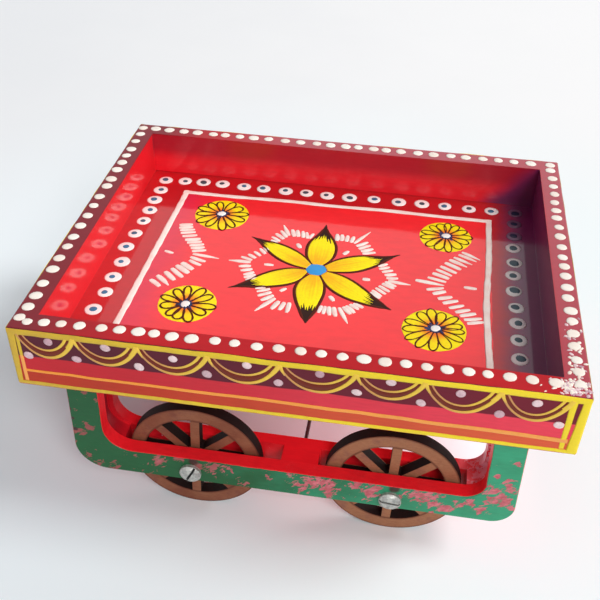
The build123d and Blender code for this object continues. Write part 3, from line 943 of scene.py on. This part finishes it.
hatches = {
    # Each stroke runs from its inner to its outer end
    "star": [
        (-21.5, 32.0, -26.5, 42.6), (-18.6, 31.6, -20.9, 38.9), (-16.2, 32.0, -17.8, 38.8),
        (-13.5, 31.6, -14.6, 38.4), (-11.0, 31.2, -12.4, 37.6), (-10.0, 31.4, -8.2, 37.0),
        (5.4, 32.0, 5.0, 39.0), (8.2, 32.4, 7.8, 39.0), (10.9, 32.2, 11.2, 38.6), (13.4, 31.8, 14.6, 38.2),
        (15.2, 31.0, 23.6, 44.6), (16.8, 29.0, 23.0, 34.2), (18.4, 26.4, 24.8, 31.2),
        (19.8, 24.4, 26.6, 28.0), (20.8, 22.4, 28.2, 24.9), (30.6, 12.0, 35.6, 15.2),
        (31.2, 9.8, 37.0, 12.6), (33.0, 7.2, 39.0, 9.8), (34.6, 4.8, 41.0, 6.6), (35.8, 2.4, 42.2, 3.2),
        (36.8, 0.2, 49.2, -1.4), (35.4, -0.8, 41.8, -4.2), (34.0, -2.8, 40.8, -6.4),
        (32.6, -5.0, 38.6, -9.4), (31.0, -7.0, 36.8, -11.8), (29.4, -9.4, 34.8, -14.2),
        (28.6, -11.4, 34.2, -15.8), (20.8, -22.4, 26.4, -25.2), (19.2, -23.2, 24.4, -26.8),
        (17.4, -24.8, 22.4, -30.2), (16.0, -26.0, 20.6, -31.4), (14.0, -26.8, 20.0, -39.2),
        (11.4, -27.0, 13.4, -34.6), (9.0, -27.0, 10.2, -34.2), (7.0, -27.0, 6.8, -33.8),
        (5.2, -27.0, 4.2, -33.2), (-11.4, -27.4, -11.6, -36.0), (-14.0, -27.6, -15.6, -34.6),
        (-16.8, -27.2, -19.6, -34.6), (-19.0, -25.0, -27.6, -37.6), (-20.4, -22.8, -26.2, -28.4),
        (-21.8, -20.4, -28.6, -25.0), (-23.0, -18.0, -29.6, -21.6), (-25.0, -16.2, -31.0, -19.0),
        (-31.6, -9.8, -37.4, -13.0), (-33.0, -7.2, -38.8, -10.8), (-34.2, -5.0, -39.6, -8.4),
        (-35.6, -2.6, -41.8, -5.0), (-36.8, -0.2, -43.6, -1.6), (-37.6, 3.2, -50.2, 3.0),
        (-37.4, 5.0, -44.0, 7.4), (-35.8, 7.4, -40.6, 10.6), (-33.6, 9.8, -38.0, 13.6),
        (-31.4, 12.2, -35.4, 17.0), (-29.6, 14.6, -33.4, 19.0), (-26.6, 23.4, -31.0, 26.2),
        (-25.6, 25.6, -31.0, 29.6), (-24.0, 28.2, -29.4, 33.2), (-22.6, 30.2, -27.0, 36.6),
    ],
    "leftArrow": [
        (-85.4, 31.4, -77.6, 33.4), (-85.0, 28.6, -76.8, 31.0), (-83.8, 26.2, -75.2, 28.6),
        (-82.6, 23.6, -74.2, 26.2), (-80.8, 20.8, -72.6, 23.4), (-78.4, 17.6, -69.8, 20.2),
        (-76.6, 15.0, -68.4, 17.6), (-74.6, 12.6, -66.6, 15.2), (-73.2, 10.2, -65.6, 12.6),
        (-71.8, 7.4, -64.0, 9.8), (-70.8, 5.2, -55.2, 3.4), (-71.2, 2.2, -61.8, -0.8),
        (-71.0, -0.8, -63.4, -4.6), (-74.4, -3.8, -66.6, -9.0), (-76.6, -6.6, -68.0, -12.6),
        (-78.4, -9.6, -70.2, -16.8), (-81.0, -13.2, -73.8, -20.0), (-84.2, -17.2, -75.6, -24.8),
        (-86.6, -21.4, -80.0, -26.4),
    ],
    "rightArrow": [
        (75.2, 34.0, 85.6, 27.8), (73.4, 31.4, 83.6, 26.0), (70.8, 28.2, 81.2, 22.8),
        (68.4, 25.4, 78.4, 20.0), (66.2, 22.2, 75.2, 17.0), (63.8, 18.6, 73.0, 13.4),
        (61.6, 15.2, 70.4, 10.4), (59.8, 11.4, 69.0, 7.6), (57.4, 7.2, 67.6, 4.4), (51.0, 3.6, 66.8, 1.4),
        (57.2, -3.8, 66.4, -0.8), (60.6, -7.0, 67.6, -3.6), (63.4, -10.6, 71.0, -7.6),
        (66.0, -14.0, 74.0, -10.4), (69.2, -17.4, 77.0, -13.6), (72.4, -20.2, 80.2, -16.8),
        (74.8, -22.8, 83.2, -19.4), (76.8, -25.4, 86.0, -22.6), (78.4, -28.2, 87.2, -25.4),
    ],
    "loose": [
        (-15.8, 25.4, -13.2, 21.2), (10.6, 19.6, 13.4, 23.4), (23.4, -0.8, 27.6, -0.6),
        (8.2, -18.4, 10.8, -22.4), (-17.8, -19.2, -14.8, -16.0), (-30.4, 2.8, -25.0, 2.8),
        (-86.4, 5.4, -81.0, 3.8), (76.6, 1.9, 83.6, 1.5),
    ],
    "half": 1.12,
}


def curveThrough(points, count):
    # Evenly counted points on a smooth line through the given ones
    ends = [points[0]] + list(points) + [points[-1]]
    spans = len(points) - 1

    def at(t):
        i = min(int(t), spans - 1)
        s = t - i
        return tuple(
            b + 0.5 * s * (c - a + s * (2 * a - 5 * b + 4 * c - d + s * (3 * b - a - 3 * c + d)))
            for a, b, c, d in zip(*ends[i:i + 4]))

    return [at(k / (count - 1) * spans) for k in range(count)]


def paintFloorLines():
    draw = random.Random(5)
    lines = [[(x, y, floorLine["half"] * draw.uniform(0.9, 1.1), draw.uniform(0.0, 0.6))
              for x, y in curveThrough(side, 40)] for side in floorLine["sides"]]
    strokes("floor_line", lines, "floor", white, step=2.0, ratio=0.12, shake=0.5, grain=60.0)
    # rings and their centres, in the light and in the back right corner's shade
    light, shade = ([], []), ([], [])
    for group in ("back", "left", "right", "front"):
        for x, y in rings[group]:
            whites, blues = shade if x > 98 and y > 50 else light
            size = rings["halfSize"] * draw.uniform(0.94, 1.08)
            whites.append((x, y, size, size * draw.uniform(0.94, 1.02), draw.uniform(0, 180),
                           draw.uniform(0, 0.6)))
            small = rings["pupil"] * draw.uniform(0.88, 1.12) * (1.4 if group == "right" else 1.15)
            blue = 0.0 if group == "left" and y < 10 else 1.0 if group == "right" else draw.uniform(0.3, 1.0)
            blues.append((x + draw.uniform(-0.5, 0.5), y + draw.uniform(-0.5, 0.5), small,
                          small * draw.uniform(0.9, 1.1), draw.uniform(0, 180), blue))
    for name, rows, paint in (("floor_rings", light[0], ringWhite), ("shaded_rings", shade[0], shadeRing)):
        dabs(name, rows, "floor", paint, height=0.34, shake=0.7, grain=200.0, edgePoints=16)
    for name, rows, paint in (("shaded_centres", shade[1], navy), ("ring_centres", light[1], ringBlue)):
        dabs(name, rows, "floor", paint, height=0.46, shake=0.6, grain=300.0)
    marks = []
    for group in ("star", "leftArrow", "rightArrow", "loose"):
        for k, (x0, y0, x1, y1) in enumerate(hatches[group]):
            length = math.hypot(x1 - x0, y1 - y0)
            half = hatches["half"] * (1.08 if group == "star" else 1.15) * draw.uniform(0.85, 1.15)
            if group == "leftArrow" and k > 12:
                half *= 1.2    # the lower arm's strokes are wide
            bend = draw.uniform(-0.25, 0.25)
            tail, tip = (0.9, 0.6) if length < 11 else (0.5, 0.25)
            line = []
            for s, wide in ((0.02, 0.7), (0.15, 1.0), (0.5, 1.05), (0.85, tail), (0.98, tip)):
                side = bend * math.sin(math.pi * s) / length
                line.append((x0 + (x1 - x0) * s - (y1 - y0) * side, y0 + (y1 - y0) * s + (x1 - x0) * side,
                             half * wide, draw.uniform(0.0, 0.8)))
            marks.append(line)
    strokes("floor_hatches", marks, "floor", white, step=1.3, ratio=0.2, shake=0.3, grain=200.0, seed=6)


paintFloorLines()
print("floor lines, rings and hatches painted")


# Floor: flowers

centreFlower = {
    "middle": (-2.0, 3.1),
    "eyeHalf": (5.7, 5.3),
    "outline": 0.95,
    # Each petal: one side's points, the tip, the other side's points, all from the middle outwards
    "petals": [
        (
            [(-4.6, 7.0), (-8.4, 13.5), (-9.8, 20.5), (-9.2, 27.5), (-6.2, 34.5), (-4.0, 40.0)],
            (-2.3, 47.0), [(0.8, 7.0), (4.6, 12.5), (6.3, 19.0), (5.8, 26.5), (2.6, 34.5), (-0.6, 40.5)]
        ),
        (
            [(2.0, 7.2), (7.0, 13.0), (13.5, 17.2), (21.0, 19.9), (28.5, 20.8), (34.5, 21.8)], (41.6, 25.0),
            [(4.4, 2.4), (11.5, 2.8), (19.5, 5.0), (26.5, 9.6), (31.5, 14.4), (35.8, 19.6)]
        ),
        (
            [(4.2, 2.2), (11.5, 0.4), (18.5, -3.6), (25.0, -9.4), (31.0, -15.6), (35.4, -19.8)],
            (40.4, -24.2),
            [(1.0, -1.6), (5.2, -9.8), (11.2, -15.6), (19.0, -19.8), (27.5, -22.2), (34.0, -23.2)]
        ),
        (
            [(0.6, -2.4), (3.9, -9.0), (4.9, -16.5), (3.9, -24.5), (2.6, -31.5), (1.0, -36.5)],
            (-0.8, -42.2),
            [(-5.0, -2.0), (-9.3, -8.6), (-10.6, -16.0), (-8.6, -24.6), (-6.0, -31.0), (-3.8, -36.6)]
        ),
        (
            [(-6.2, -0.6), (-9.0, -7.6), (-14.6, -12.6), (-22.4, -15.8), (-30.5, -17.8), (-37.0, -18.6)],
            (-45.0, -20.8),
            [(-7.6, 1.8), (-15.4, 1.8), (-23.4, -1.6), (-30.0, -6.6), (-34.8, -11.8), (-38.8, -16.2)]
        ),
        (
            [(-7.4, 3.0), (-15.0, 4.6), (-22.4, 8.2), (-28.4, 13.2), (-33.2, 18.8), (-36.6, 23.0)],
            (-42.0, 27.4),
            [(-5.2, 7.4), (-10.6, 14.2), (-17.4, 19.4), (-25.0, 23.0), (-31.6, 24.4), (-36.6, 25.6)]
        ),
    ],
}

cornerFlowers = {
    # the disc's middle and half size, place of the white eye, first petal's angle, petals, line's half width
    "list": [
        (-63.8, 46.3, 15.7, -64.2, 47.2, 12.0, 12, 0.48), (65.8, 47.3, 14.8, 66.2, 48.3, 30.0, 13, 0.38),
        (-62.4, -37.5, 15.0, -63.0, -38.4, 0.0, 11, 0.52), (62.5, -36.0, 16.0, 63.2, -35.0, 22.0, 13, 0.38),
    ],
}


def petalFill(sideA, sideB, draw):
    # The yellow stops short of the tip in ragged brush fingers
    rows, across = 26, 28
    fingers = [draw.uniform(-0.05, 0.07) for _ in range(8)]
    streaks = [draw.uniform(-0.25, 0.25) for _ in range(across + 1)]

    def place(i, j, top):
        s = j / across
        n = min(int(s * 7), 6)
        finger = fingers[n] + (fingers[n + 1] - fingers[n]) * (s * 7 - n)
        reach = 0.6 + 0.05 * math.sin(math.pi * s) + finger + 0.055 * math.cos(s * math.pi * 13)
        t = i / (rows - 1) * reach * 29
        m = min(int(t), 28)
        a, b = (between(side[m], side[m + 1], t - m) for side in (sideA, sideB))
        crown = (1 - (2 * s - 1) ** 4) * min(1.0, 6 * (1 - i / (rows - 1)) + 0.1)
        return (*between(a, b, 0.05 + 0.9 * s), 0.16 + 0.14 * crown if top else 0.05)

    def tone(i, j):
        fade = max(0.0, 1.05 - 1.25 * i / (rows - 1))
        return fade * (0.7 + 0.3 * math.sin(math.pi * j / across)) + streaks[j] * (0.4 + 0.6 * fade)

    return sheet(rows, across, place, tone)


def paintCentreFlower():
    look = centreFlower
    draw = random.Random(3)
    under, fills, outlines = [], [], []
    for first, tip, second in look["petals"]:
        sides = [curveThrough(side + [tip], 30) for side in (first, second)]
        under.append(shell(*sides, 10, 0.16, lambda t: 0.3))
        fills.append(petalFill(*sides, draw))
        for side in sides:
            wide = [look["outline"] * (0.62 + 0.38 * math.sin(math.pi * k / 29)) for k in range(30)]
            outlines.append([(*p, wide[k] * (1.0 if k < 26 else 0.5), 0.4) for k, p in enumerate(side)])
    shells("petal_tips", under, "floor", ink)
    shells("petal_fills", fills, "floor", yellow)
    strokes("petal_outlines", outlines, "floor", rust, step=1.2, ratio=0.32, shake=0.3, grain=150.0, seed=4)
    dabs("flower_eye", [(*look["middle"], *look["eyeHalf"], 0, 0.2)], "floor", sky, height=0.5, shake=0.8,
         grain=160.0, edgePoints=28, ballRings=12)


def paintCornerFlowers():
    draw = random.Random(8)
    # a loop starts this far from the eye's middle, and is widest at this share of its length
    inner, widest, steps = 3.2, 0.66, 14
    discs, petals, loops, hearts, eyes = [], [], [], [], []
    for x, y, size, eyeX, eyeY, start, count, line in cornerFlowers["list"]:
        discs.append((x, y, size, size * 0.99, draw.uniform(0, 90), draw.uniform(0.1, 0.5)))
        middle = Vector((eyeX, eyeY))
        toEdge = Vector((x, y)) - middle
        for k in range(count):
            angle = math.radians(start + 360.0 / count * (k + draw.uniform(-0.2, 0.2)))
            along = Vector((math.cos(angle), math.sin(angle)))
            side = Vector((-along.y, along.x))
            # loops reach just inside the disc's edge
            ahead = toEdge.dot(along)
            beside = (toEdge - along * ahead).length
            reach = ahead + math.sqrt(max(0.0, size ** 2 - beside ** 2)) + draw.uniform(-1.8, 0.6)
            width = draw.uniform(1.9, 2.7)
            left, right = [], []
            for step in range(steps + 1):
                t = step / steps
                out = middle + along * (inner + (reach - inner) * t)
                swell = 0.3 + 0.7 * math.sin(math.pi / 2 * min(t / widest, 1.0))
                past = max(t - widest, 0.0) / (1 - widest)
                half = side * width * swell * math.sqrt(max(0.0, 1 - past ** 2))
                left.append(tuple(out + half))
                right.append(tuple(out - half))
            petals.append(shell(left, right, 6, 0.14, lambda t: max(0.0, 1.05 - 1.7 * t)))
            loops.append([(*p, line * draw.uniform(0.75, 1.3), 0.5) for p in left + right[::-1][1:]])
        for _ in range(12):
            angle = draw.uniform(0, 2 * math.pi)
            far = draw.uniform(2.4, 4.4)
            x, y = eyeX + far * math.cos(angle), eyeY + far * math.sin(angle)
            hearts.append((x, y, draw.uniform(1.0, 1.9), 0.7, math.degrees(angle), draw.uniform(0, 1)))
        hearts.append((eyeX, eyeY, 3.9, 3.6, 0, 0.5))
        eyes.append((eyeX, eyeY, 3.0, 2.7, draw.uniform(0, 90), 0.1))
    dabs("flower_discs", discs, "floor", disc, height=0.11, shake=1.0, grain=90.0, edgePoints=40,
         ballRings=22)
    shells("flower_petals", petals, "floor", orange, lift=0.06)
    strokes("flower_loops", loops, "floor", rust, step=0.8, ratio=0.4, shake=0.25, grain=200.0, seed=9,
            lift=0.16)
    dabs("flower_hearts", hearts, "floor", navy, height=0.42, shake=0.8, grain=320.0)
    dabs("flower_eyes", eyes, "floor", ringWhite, height=0.62, shake=0.5, edgePoints=14)


paintCentreFlower()
paintCornerFlowers()
print("flowers painted")


# Sides: bands, scallops and dots

sideOrnament = {
    "topLine": (-2.0, 1.65),
    "underLine": (-24.9, 0.85),
    "footLine": (-32.8, 1.1),
    # end bands as inset and half width, at the top and at the foot
    "leftEnd": ((2.0, 1.9), (1.4, 1.25)),
    "rightEnd": ((1.7, 1.6), (2.5, 2.4)),
    "endHeights": (-1.2, -32.6),
    # upright lines beside them as inset, heights, half widths, tone and steps
    "rightPost": (7.0, -2.4, -31.2, 1.6, 1.1, 0.1, 10),
    "leftPost": (4.7, -2.4, -16.4, 0.85, 0.85, 0.6, 5),
    "leftPostFoot": (4.7, -16.0, -31.2, 0.9, 0.9, 0.8, 5),
    "fans": [
        [(-0.1, 0.6, 1.25, 0.0), (-1.3, -2.2, 1.05, 0.0), (-3.4, -5.0, 0.7, 0.1)],
        [(0.1, 0.6, 1.1, 0.0), (1.0, -2.2, 0.8, 0.2), (2.6, -5.2, 0.5, 0.6)],
    ],
    "front": {
        "joints": [-122.6, -96.3, -67.2, -35.5, -3.8, 29.5, 58.7, 90.3, 119.6],
        "outer": [-15.3, -15.3, -15.7, -15.7, -15.7, -14.4, -17.0, -16.5],
        "inner": [-11.0, -11.2, -12.0, -11.0, -10.7, -10.2, -13.2, -13.2],
        "dots": [
            (-118.8, -15.5), (-108.0, -5.8), (-96.0, -14.3), (-81.6, -5.2), (-67.0, -14.1), (-51.0, -6.8),
            (-36.1, -13.4), (-18.0, -5.2), (-4.2, -13.2), (13.8, -5.1), (30.1, -13.1), (44.4, -4.8),
            (57.9, -14.5), (73.8, -6.3), (91.2, -15.4), (105.5, -6.5), (116.4, -17.4),
        ],
    },
}


def regularSide(half, count, seed):
    # A side that the picture doesn't show, laid out like the front
    draw = random.Random(seed)
    pitch = 2 * half / count
    joints = [-half] + [-half + pitch * k + draw.uniform(-1.2, 1.2) for k in range(1, count)] + [half]
    outer = [draw.uniform(-16.4, -14.8) for _ in range(count)]
    inner = [depth + draw.uniform(3.9, 4.8) for depth in outer]
    dots = []
    for k in range(count):
        dots.append(((joints[k] + joints[k + 1]) / 2 + draw.uniform(-1, 1), draw.uniform(-6.6, -4.9)))
        if k:
            dots.append((joints[k], draw.uniform(-15.0, -13.4)))
    dots += [(-half + 3.2, -15.6), (half - 3.2, -16.4)]
    return {"joints": joints, "outer": outer, "inner": inner, "dots": dots}


def scallopArc(x0, x1, top, depth, thin, thick, toneRight):
    # Hangs from top to depth, and grows thicker and brighter towards its right end
    rows = []
    for k in range(25):
        s = k / 24
        z = top + (depth - top) * (1 - abs(2 * s - 1) ** 2.1) ** 0.85
        rows.append((x0 + (x1 - x0) * s, z, thin + (thick - thin) * s ** 1.4, 1.0 + (toneRight - 1.0) * s))
    return rows


def straight(start, end, steps):
    return [tuple(a + (b - a) * k / steps for a, b in zip(start, end)) for k in range(steps + 1)]


def paintSide(face, half, plan, seed):
    look = sideOrnament
    draw = random.Random(seed)

    def dull(x):
        # the front's paint is duller towards its left end
        return 0.75 - 0.75 * min(max((x + 110) / 200, 0.0), 1.0) if face == "front" else 0.15

    def wavy(line, swing):
        reach = half - 0.4
        xs = [-reach + 2 * reach * k / 24 for k in range(25)]
        z, wide = line
        return [(x, z + draw.uniform(-swing, swing), wide * draw.uniform(0.9, 1.12), dull(x)) for x in xs]

    def post(side, plan):
        inset, high, low, halfHigh, halfLow, tone, steps = plan
        x = side * (half - inset)
        return straight((x, high, halfHigh, tone), (x, low, halfLow, tone), steps)

    bands = [wavy(look["topLine"], 0.15), wavy(look["footLine"], 0.08)]
    high, thick = look["underLine"]
    ambers = [[((half - 5.2) * (k / 12 - 1), high - 1.6 * (k / 24) ** 3 + draw.uniform(-0.25, 0.25),
                thick * (0.9 + 0.55 * k / 24), 0.2 + 0.5 * k / 24) for k in range(25)]]
    for side, end in ((-1, "leftEnd"), (1, "rightEnd")):
        ends = [(side * (half - inset), z, wide, dull(side * half))
                for (inset, wide), z in zip(look[end], look["endHeights"])]
        bands.append(straight(*ends, 10))
    bands += [post(1, look["rightPost"]), post(-1, look["leftPost"])]
    ambers.append(post(-1, look["leftPostFoot"]))
    strokes(face + "_bands", bands, face, gold, step=1.6, ratio=0.14, shake=0.35, grain=130.0, seed=seed)
    strokes(face + "_ambers", ambers, face, amber, step=1.6, ratio=0.2, shake=0.3, grain=130.0,
            seed=seed + 3, lift=0.03)
    arcs, washes = [], []
    top = look["topLine"][0] - 1.1
    joints = plan["joints"]
    for x0, x1, outer, inner in zip(joints, joints[1:], plan["outer"], plan["inner"]):
        outerArc = scallopArc(x0, x1, top, outer, 0.5, 1.1, 0.0)
        innerArc = scallopArc(x0 + 2.8, x1 - 3.4, top, inner, 0.42, 0.75, 0.1)
        arcs += [outerArc, innerArc]
        # thicker strokes that fan out under each joint
        for fan in look["fans"] if x1 < joints[-1] else look["fans"][:1]:
            arcs.append([(x1 + x, top + z, wide, tone) for x, z, wide, tone in fan])
        sides = [[row[:2] for row in arc] for arc in (innerArc, outerArc)]
        washes.append(shell(*sides, 2, 0.07, lambda t: 0.5))
    shells(face + "_washes", washes, face, umber)
    strokes(face + "_scallops", arcs, face, peach, step=1.3, ratio=0.24, shake=0.3, grain=140.0,
            seed=seed + 1, lift=0.05)
    limits = ((2.1, 2.5), (1.9, 2.25), (-40, 20), (0, 1))
    rows = [(*dot, *(draw.uniform(*pair) for pair in limits)) for dot in plan["dots"]]
    dabs(face + "_dots", rows, face, blush, height=0.4, shake=0.6, edgePoints=14)


longHalf = trayHigh.x / mm
shortHalf = trayHigh.y / mm
paintSide("front", longHalf, sideOrnament["front"], 21)
paintSide("back", longHalf, regularSide(longHalf - 5.0, 8, 31), 32)
paintSide("left", shortHalf, regularSide(shortHalf - 5.0, 6, 41), 42)
paintSide("right", shortHalf, regularSide(shortHalf - 5.0, 6, 51), 52)
print("sides painted")


# Stage, light and camera

studio = {
    # painted shade: the table is darker to the left, away from the light
    "floorLeft": (0.81, 0.825, 0.85, 1.0),
    "floorRight": (0.955, 0.955, 0.965, 1.0),
    # painted light: near the cart the table is bluer, as if lit by cool light
    "nearLeft": (0.86, 0.945, 0.99, 1.0),
    "nearRight": (0.88, 0.98, 1.0, 1.0),
    "underGlow": (0.26, 0.17, 0.19, 1.0),
    "worldView": (0.95, 0.955, 0.97, 1.0),
    "worldLight": (0.94, 0.97, 1.0, 1.0),
    "worldFill": 0.26,
    "sunColor": (1.0, 0.99, 0.975),
    # Soft suns: turn from the right towards the front, height, level on the floor and softness, in degrees
    "rightSun": (-4.0, 46.0, 0.32, 18.0),
    "frontSun": (60.0, 40.0, 0.31, 26.0),
    "lowSun": (-28.0, 22.0, 0.12, 24.0),
    "floorSize": 6.0,
}

view = {
    "place": (43.3 * mm, -366.3 * mm, 373.5 * mm),
    "aim": (-7.18 * mm, -18.59 * mm, 95.0 * mm),
    "roll": 1.333,
    "lens": 51.57,
}


def aimAt(item, place, aim, roll=0.0):
    direction = Vector(aim) - Vector(place)
    turn = direction.to_track_quat("-Z", "Y") @ Matrix.Rotation(math.radians(roll), 3, "Z").to_quaternion()
    item.location = place
    item.rotation_mode = "QUATERNION"
    item.rotation_quaternion = turn


def makeFloor():
    look = studio
    half = look["floorSize"] / 2
    mesh = bpy.data.meshes.new("studio_floor")
    rim = [(-half, -half, 0), (half, -half, 0), (half, half, 0), (-half, half, 0)]
    mesh.from_pydata(rim, [], [(0, 1, 2, 3)])
    material, tree, surface, place = newMaterial("paleTable")
    x, y, z = parts(tree, place)
    across = calc(tree, "ADD", x, sway(tree, place, 5.0, 0.3))
    # painted shade: darker to the left, as light from the right falls off
    far = mixColor(tree, ramp(tree, across, -0.55, 0.25), look["floorLeft"], look["floorRight"])
    # painted light: bluer near the cart
    near = mixColor(tree, ramp(tree, across, -0.15, 0.15), look["nearLeft"], look["nearRight"])
    away = vectorCalc(tree, "LENGTH", place)
    # the shade under the cart is paler towards its right end
    along = calc(tree, "MULTIPLY", span(tree, x, (-60, 20)), span(tree, x, (90, 140), 1.0, 0.0))
    under = calc(tree, "MULTIPLY", along, span(tree, calc(tree, "ABSOLUTE", y), (20, 90), 1.0, 0.0))
    fillAll(tree, surface, {
        "Base Color": mixColor(tree, ramp(tree, away, 0.14, 0.5), near, far),
        "Roughness": 0.7,
        "Specular IOR Level": 0.15,
        "Emission Color": mixColor(tree, under, (0.0, 0.0, 0.0, 1.0), look["underGlow"]),
        "Emission Strength": 1.0,
    })
    # far off, the floor fades into the room's colour as the camera sees it
    seen = addNode(tree, "ShaderNodeLightPath").outputs["Is Camera Ray"]
    seenFar = calc(tree, "MULTIPLY", seen, ramp(tree, away, 0.6, 1.9))
    glow = result(tree, "ShaderNodeEmission", {"Color": look["worldView"], "Strength": 1.0})
    faded = result(tree, "ShaderNodeMixShader", {0: seenFar, 1: surface.outputs[0], 2: glow})
    tree.links.new(faded, tree.nodes["Material Output"].inputs["Surface"])
    mesh.materials.append(material)
    addObject("studio_floor", mesh)


def makeRoom():
    look = studio
    world = bpy.data.worlds.new("softRoom")
    scene.world = world
    world.use_nodes = True
    tree = world.node_tree
    tree.nodes.clear()
    path = addNode(tree, "ShaderNodeLightPath").outputs
    seen = calc(tree, "MAXIMUM", *(path[f"Is {kind} Ray"] for kind in ("Camera", "Glossy", "Transmission")))
    shown = result(tree, "ShaderNodeBackground", {"Color": look["worldView"], "Strength": 1.0})
    soft = result(tree, "ShaderNodeBackground", {"Color": look["worldLight"], "Strength": look["worldFill"]})
    room = result(tree, "ShaderNodeMixShader", {0: seen, 1: soft, 2: shown})
    addNode(tree, "ShaderNodeOutputWorld", {"Surface": room})
    for name in ("rightSun", "frontSun", "lowSun"):
        turn, high, level, softness = look[name]
        turn, high = math.radians(turn), math.radians(high)
        away = Vector((math.cos(high) * math.cos(turn), -math.cos(high) * math.sin(turn), math.sin(high)))
        lamp = bpy.data.lights.new(name, "SUN")
        lamp.energy = level * math.pi / math.sin(high)
        lamp.angle = math.radians(softness)
        lamp.color = look["sunColor"]
        aimAt(addObject(name, lamp), away * 3.0, (0.0, 0.0, 0.0))


def makeCamera():
    data = bpy.data.cameras.new("photo_view")
    data.lens = view["lens"]
    data.sensor_width = 36.0
    data.clip_start = 0.01
    data.clip_end = 20.0
    camera = addObject("photo_view", data)
    aimAt(camera, view["place"], view["aim"], view["roll"])
    scene.camera = camera


makeFloor()
makeRoom()
makeCamera()
scene.view_settings.view_transform = "Standard"
print("studio and camera set")
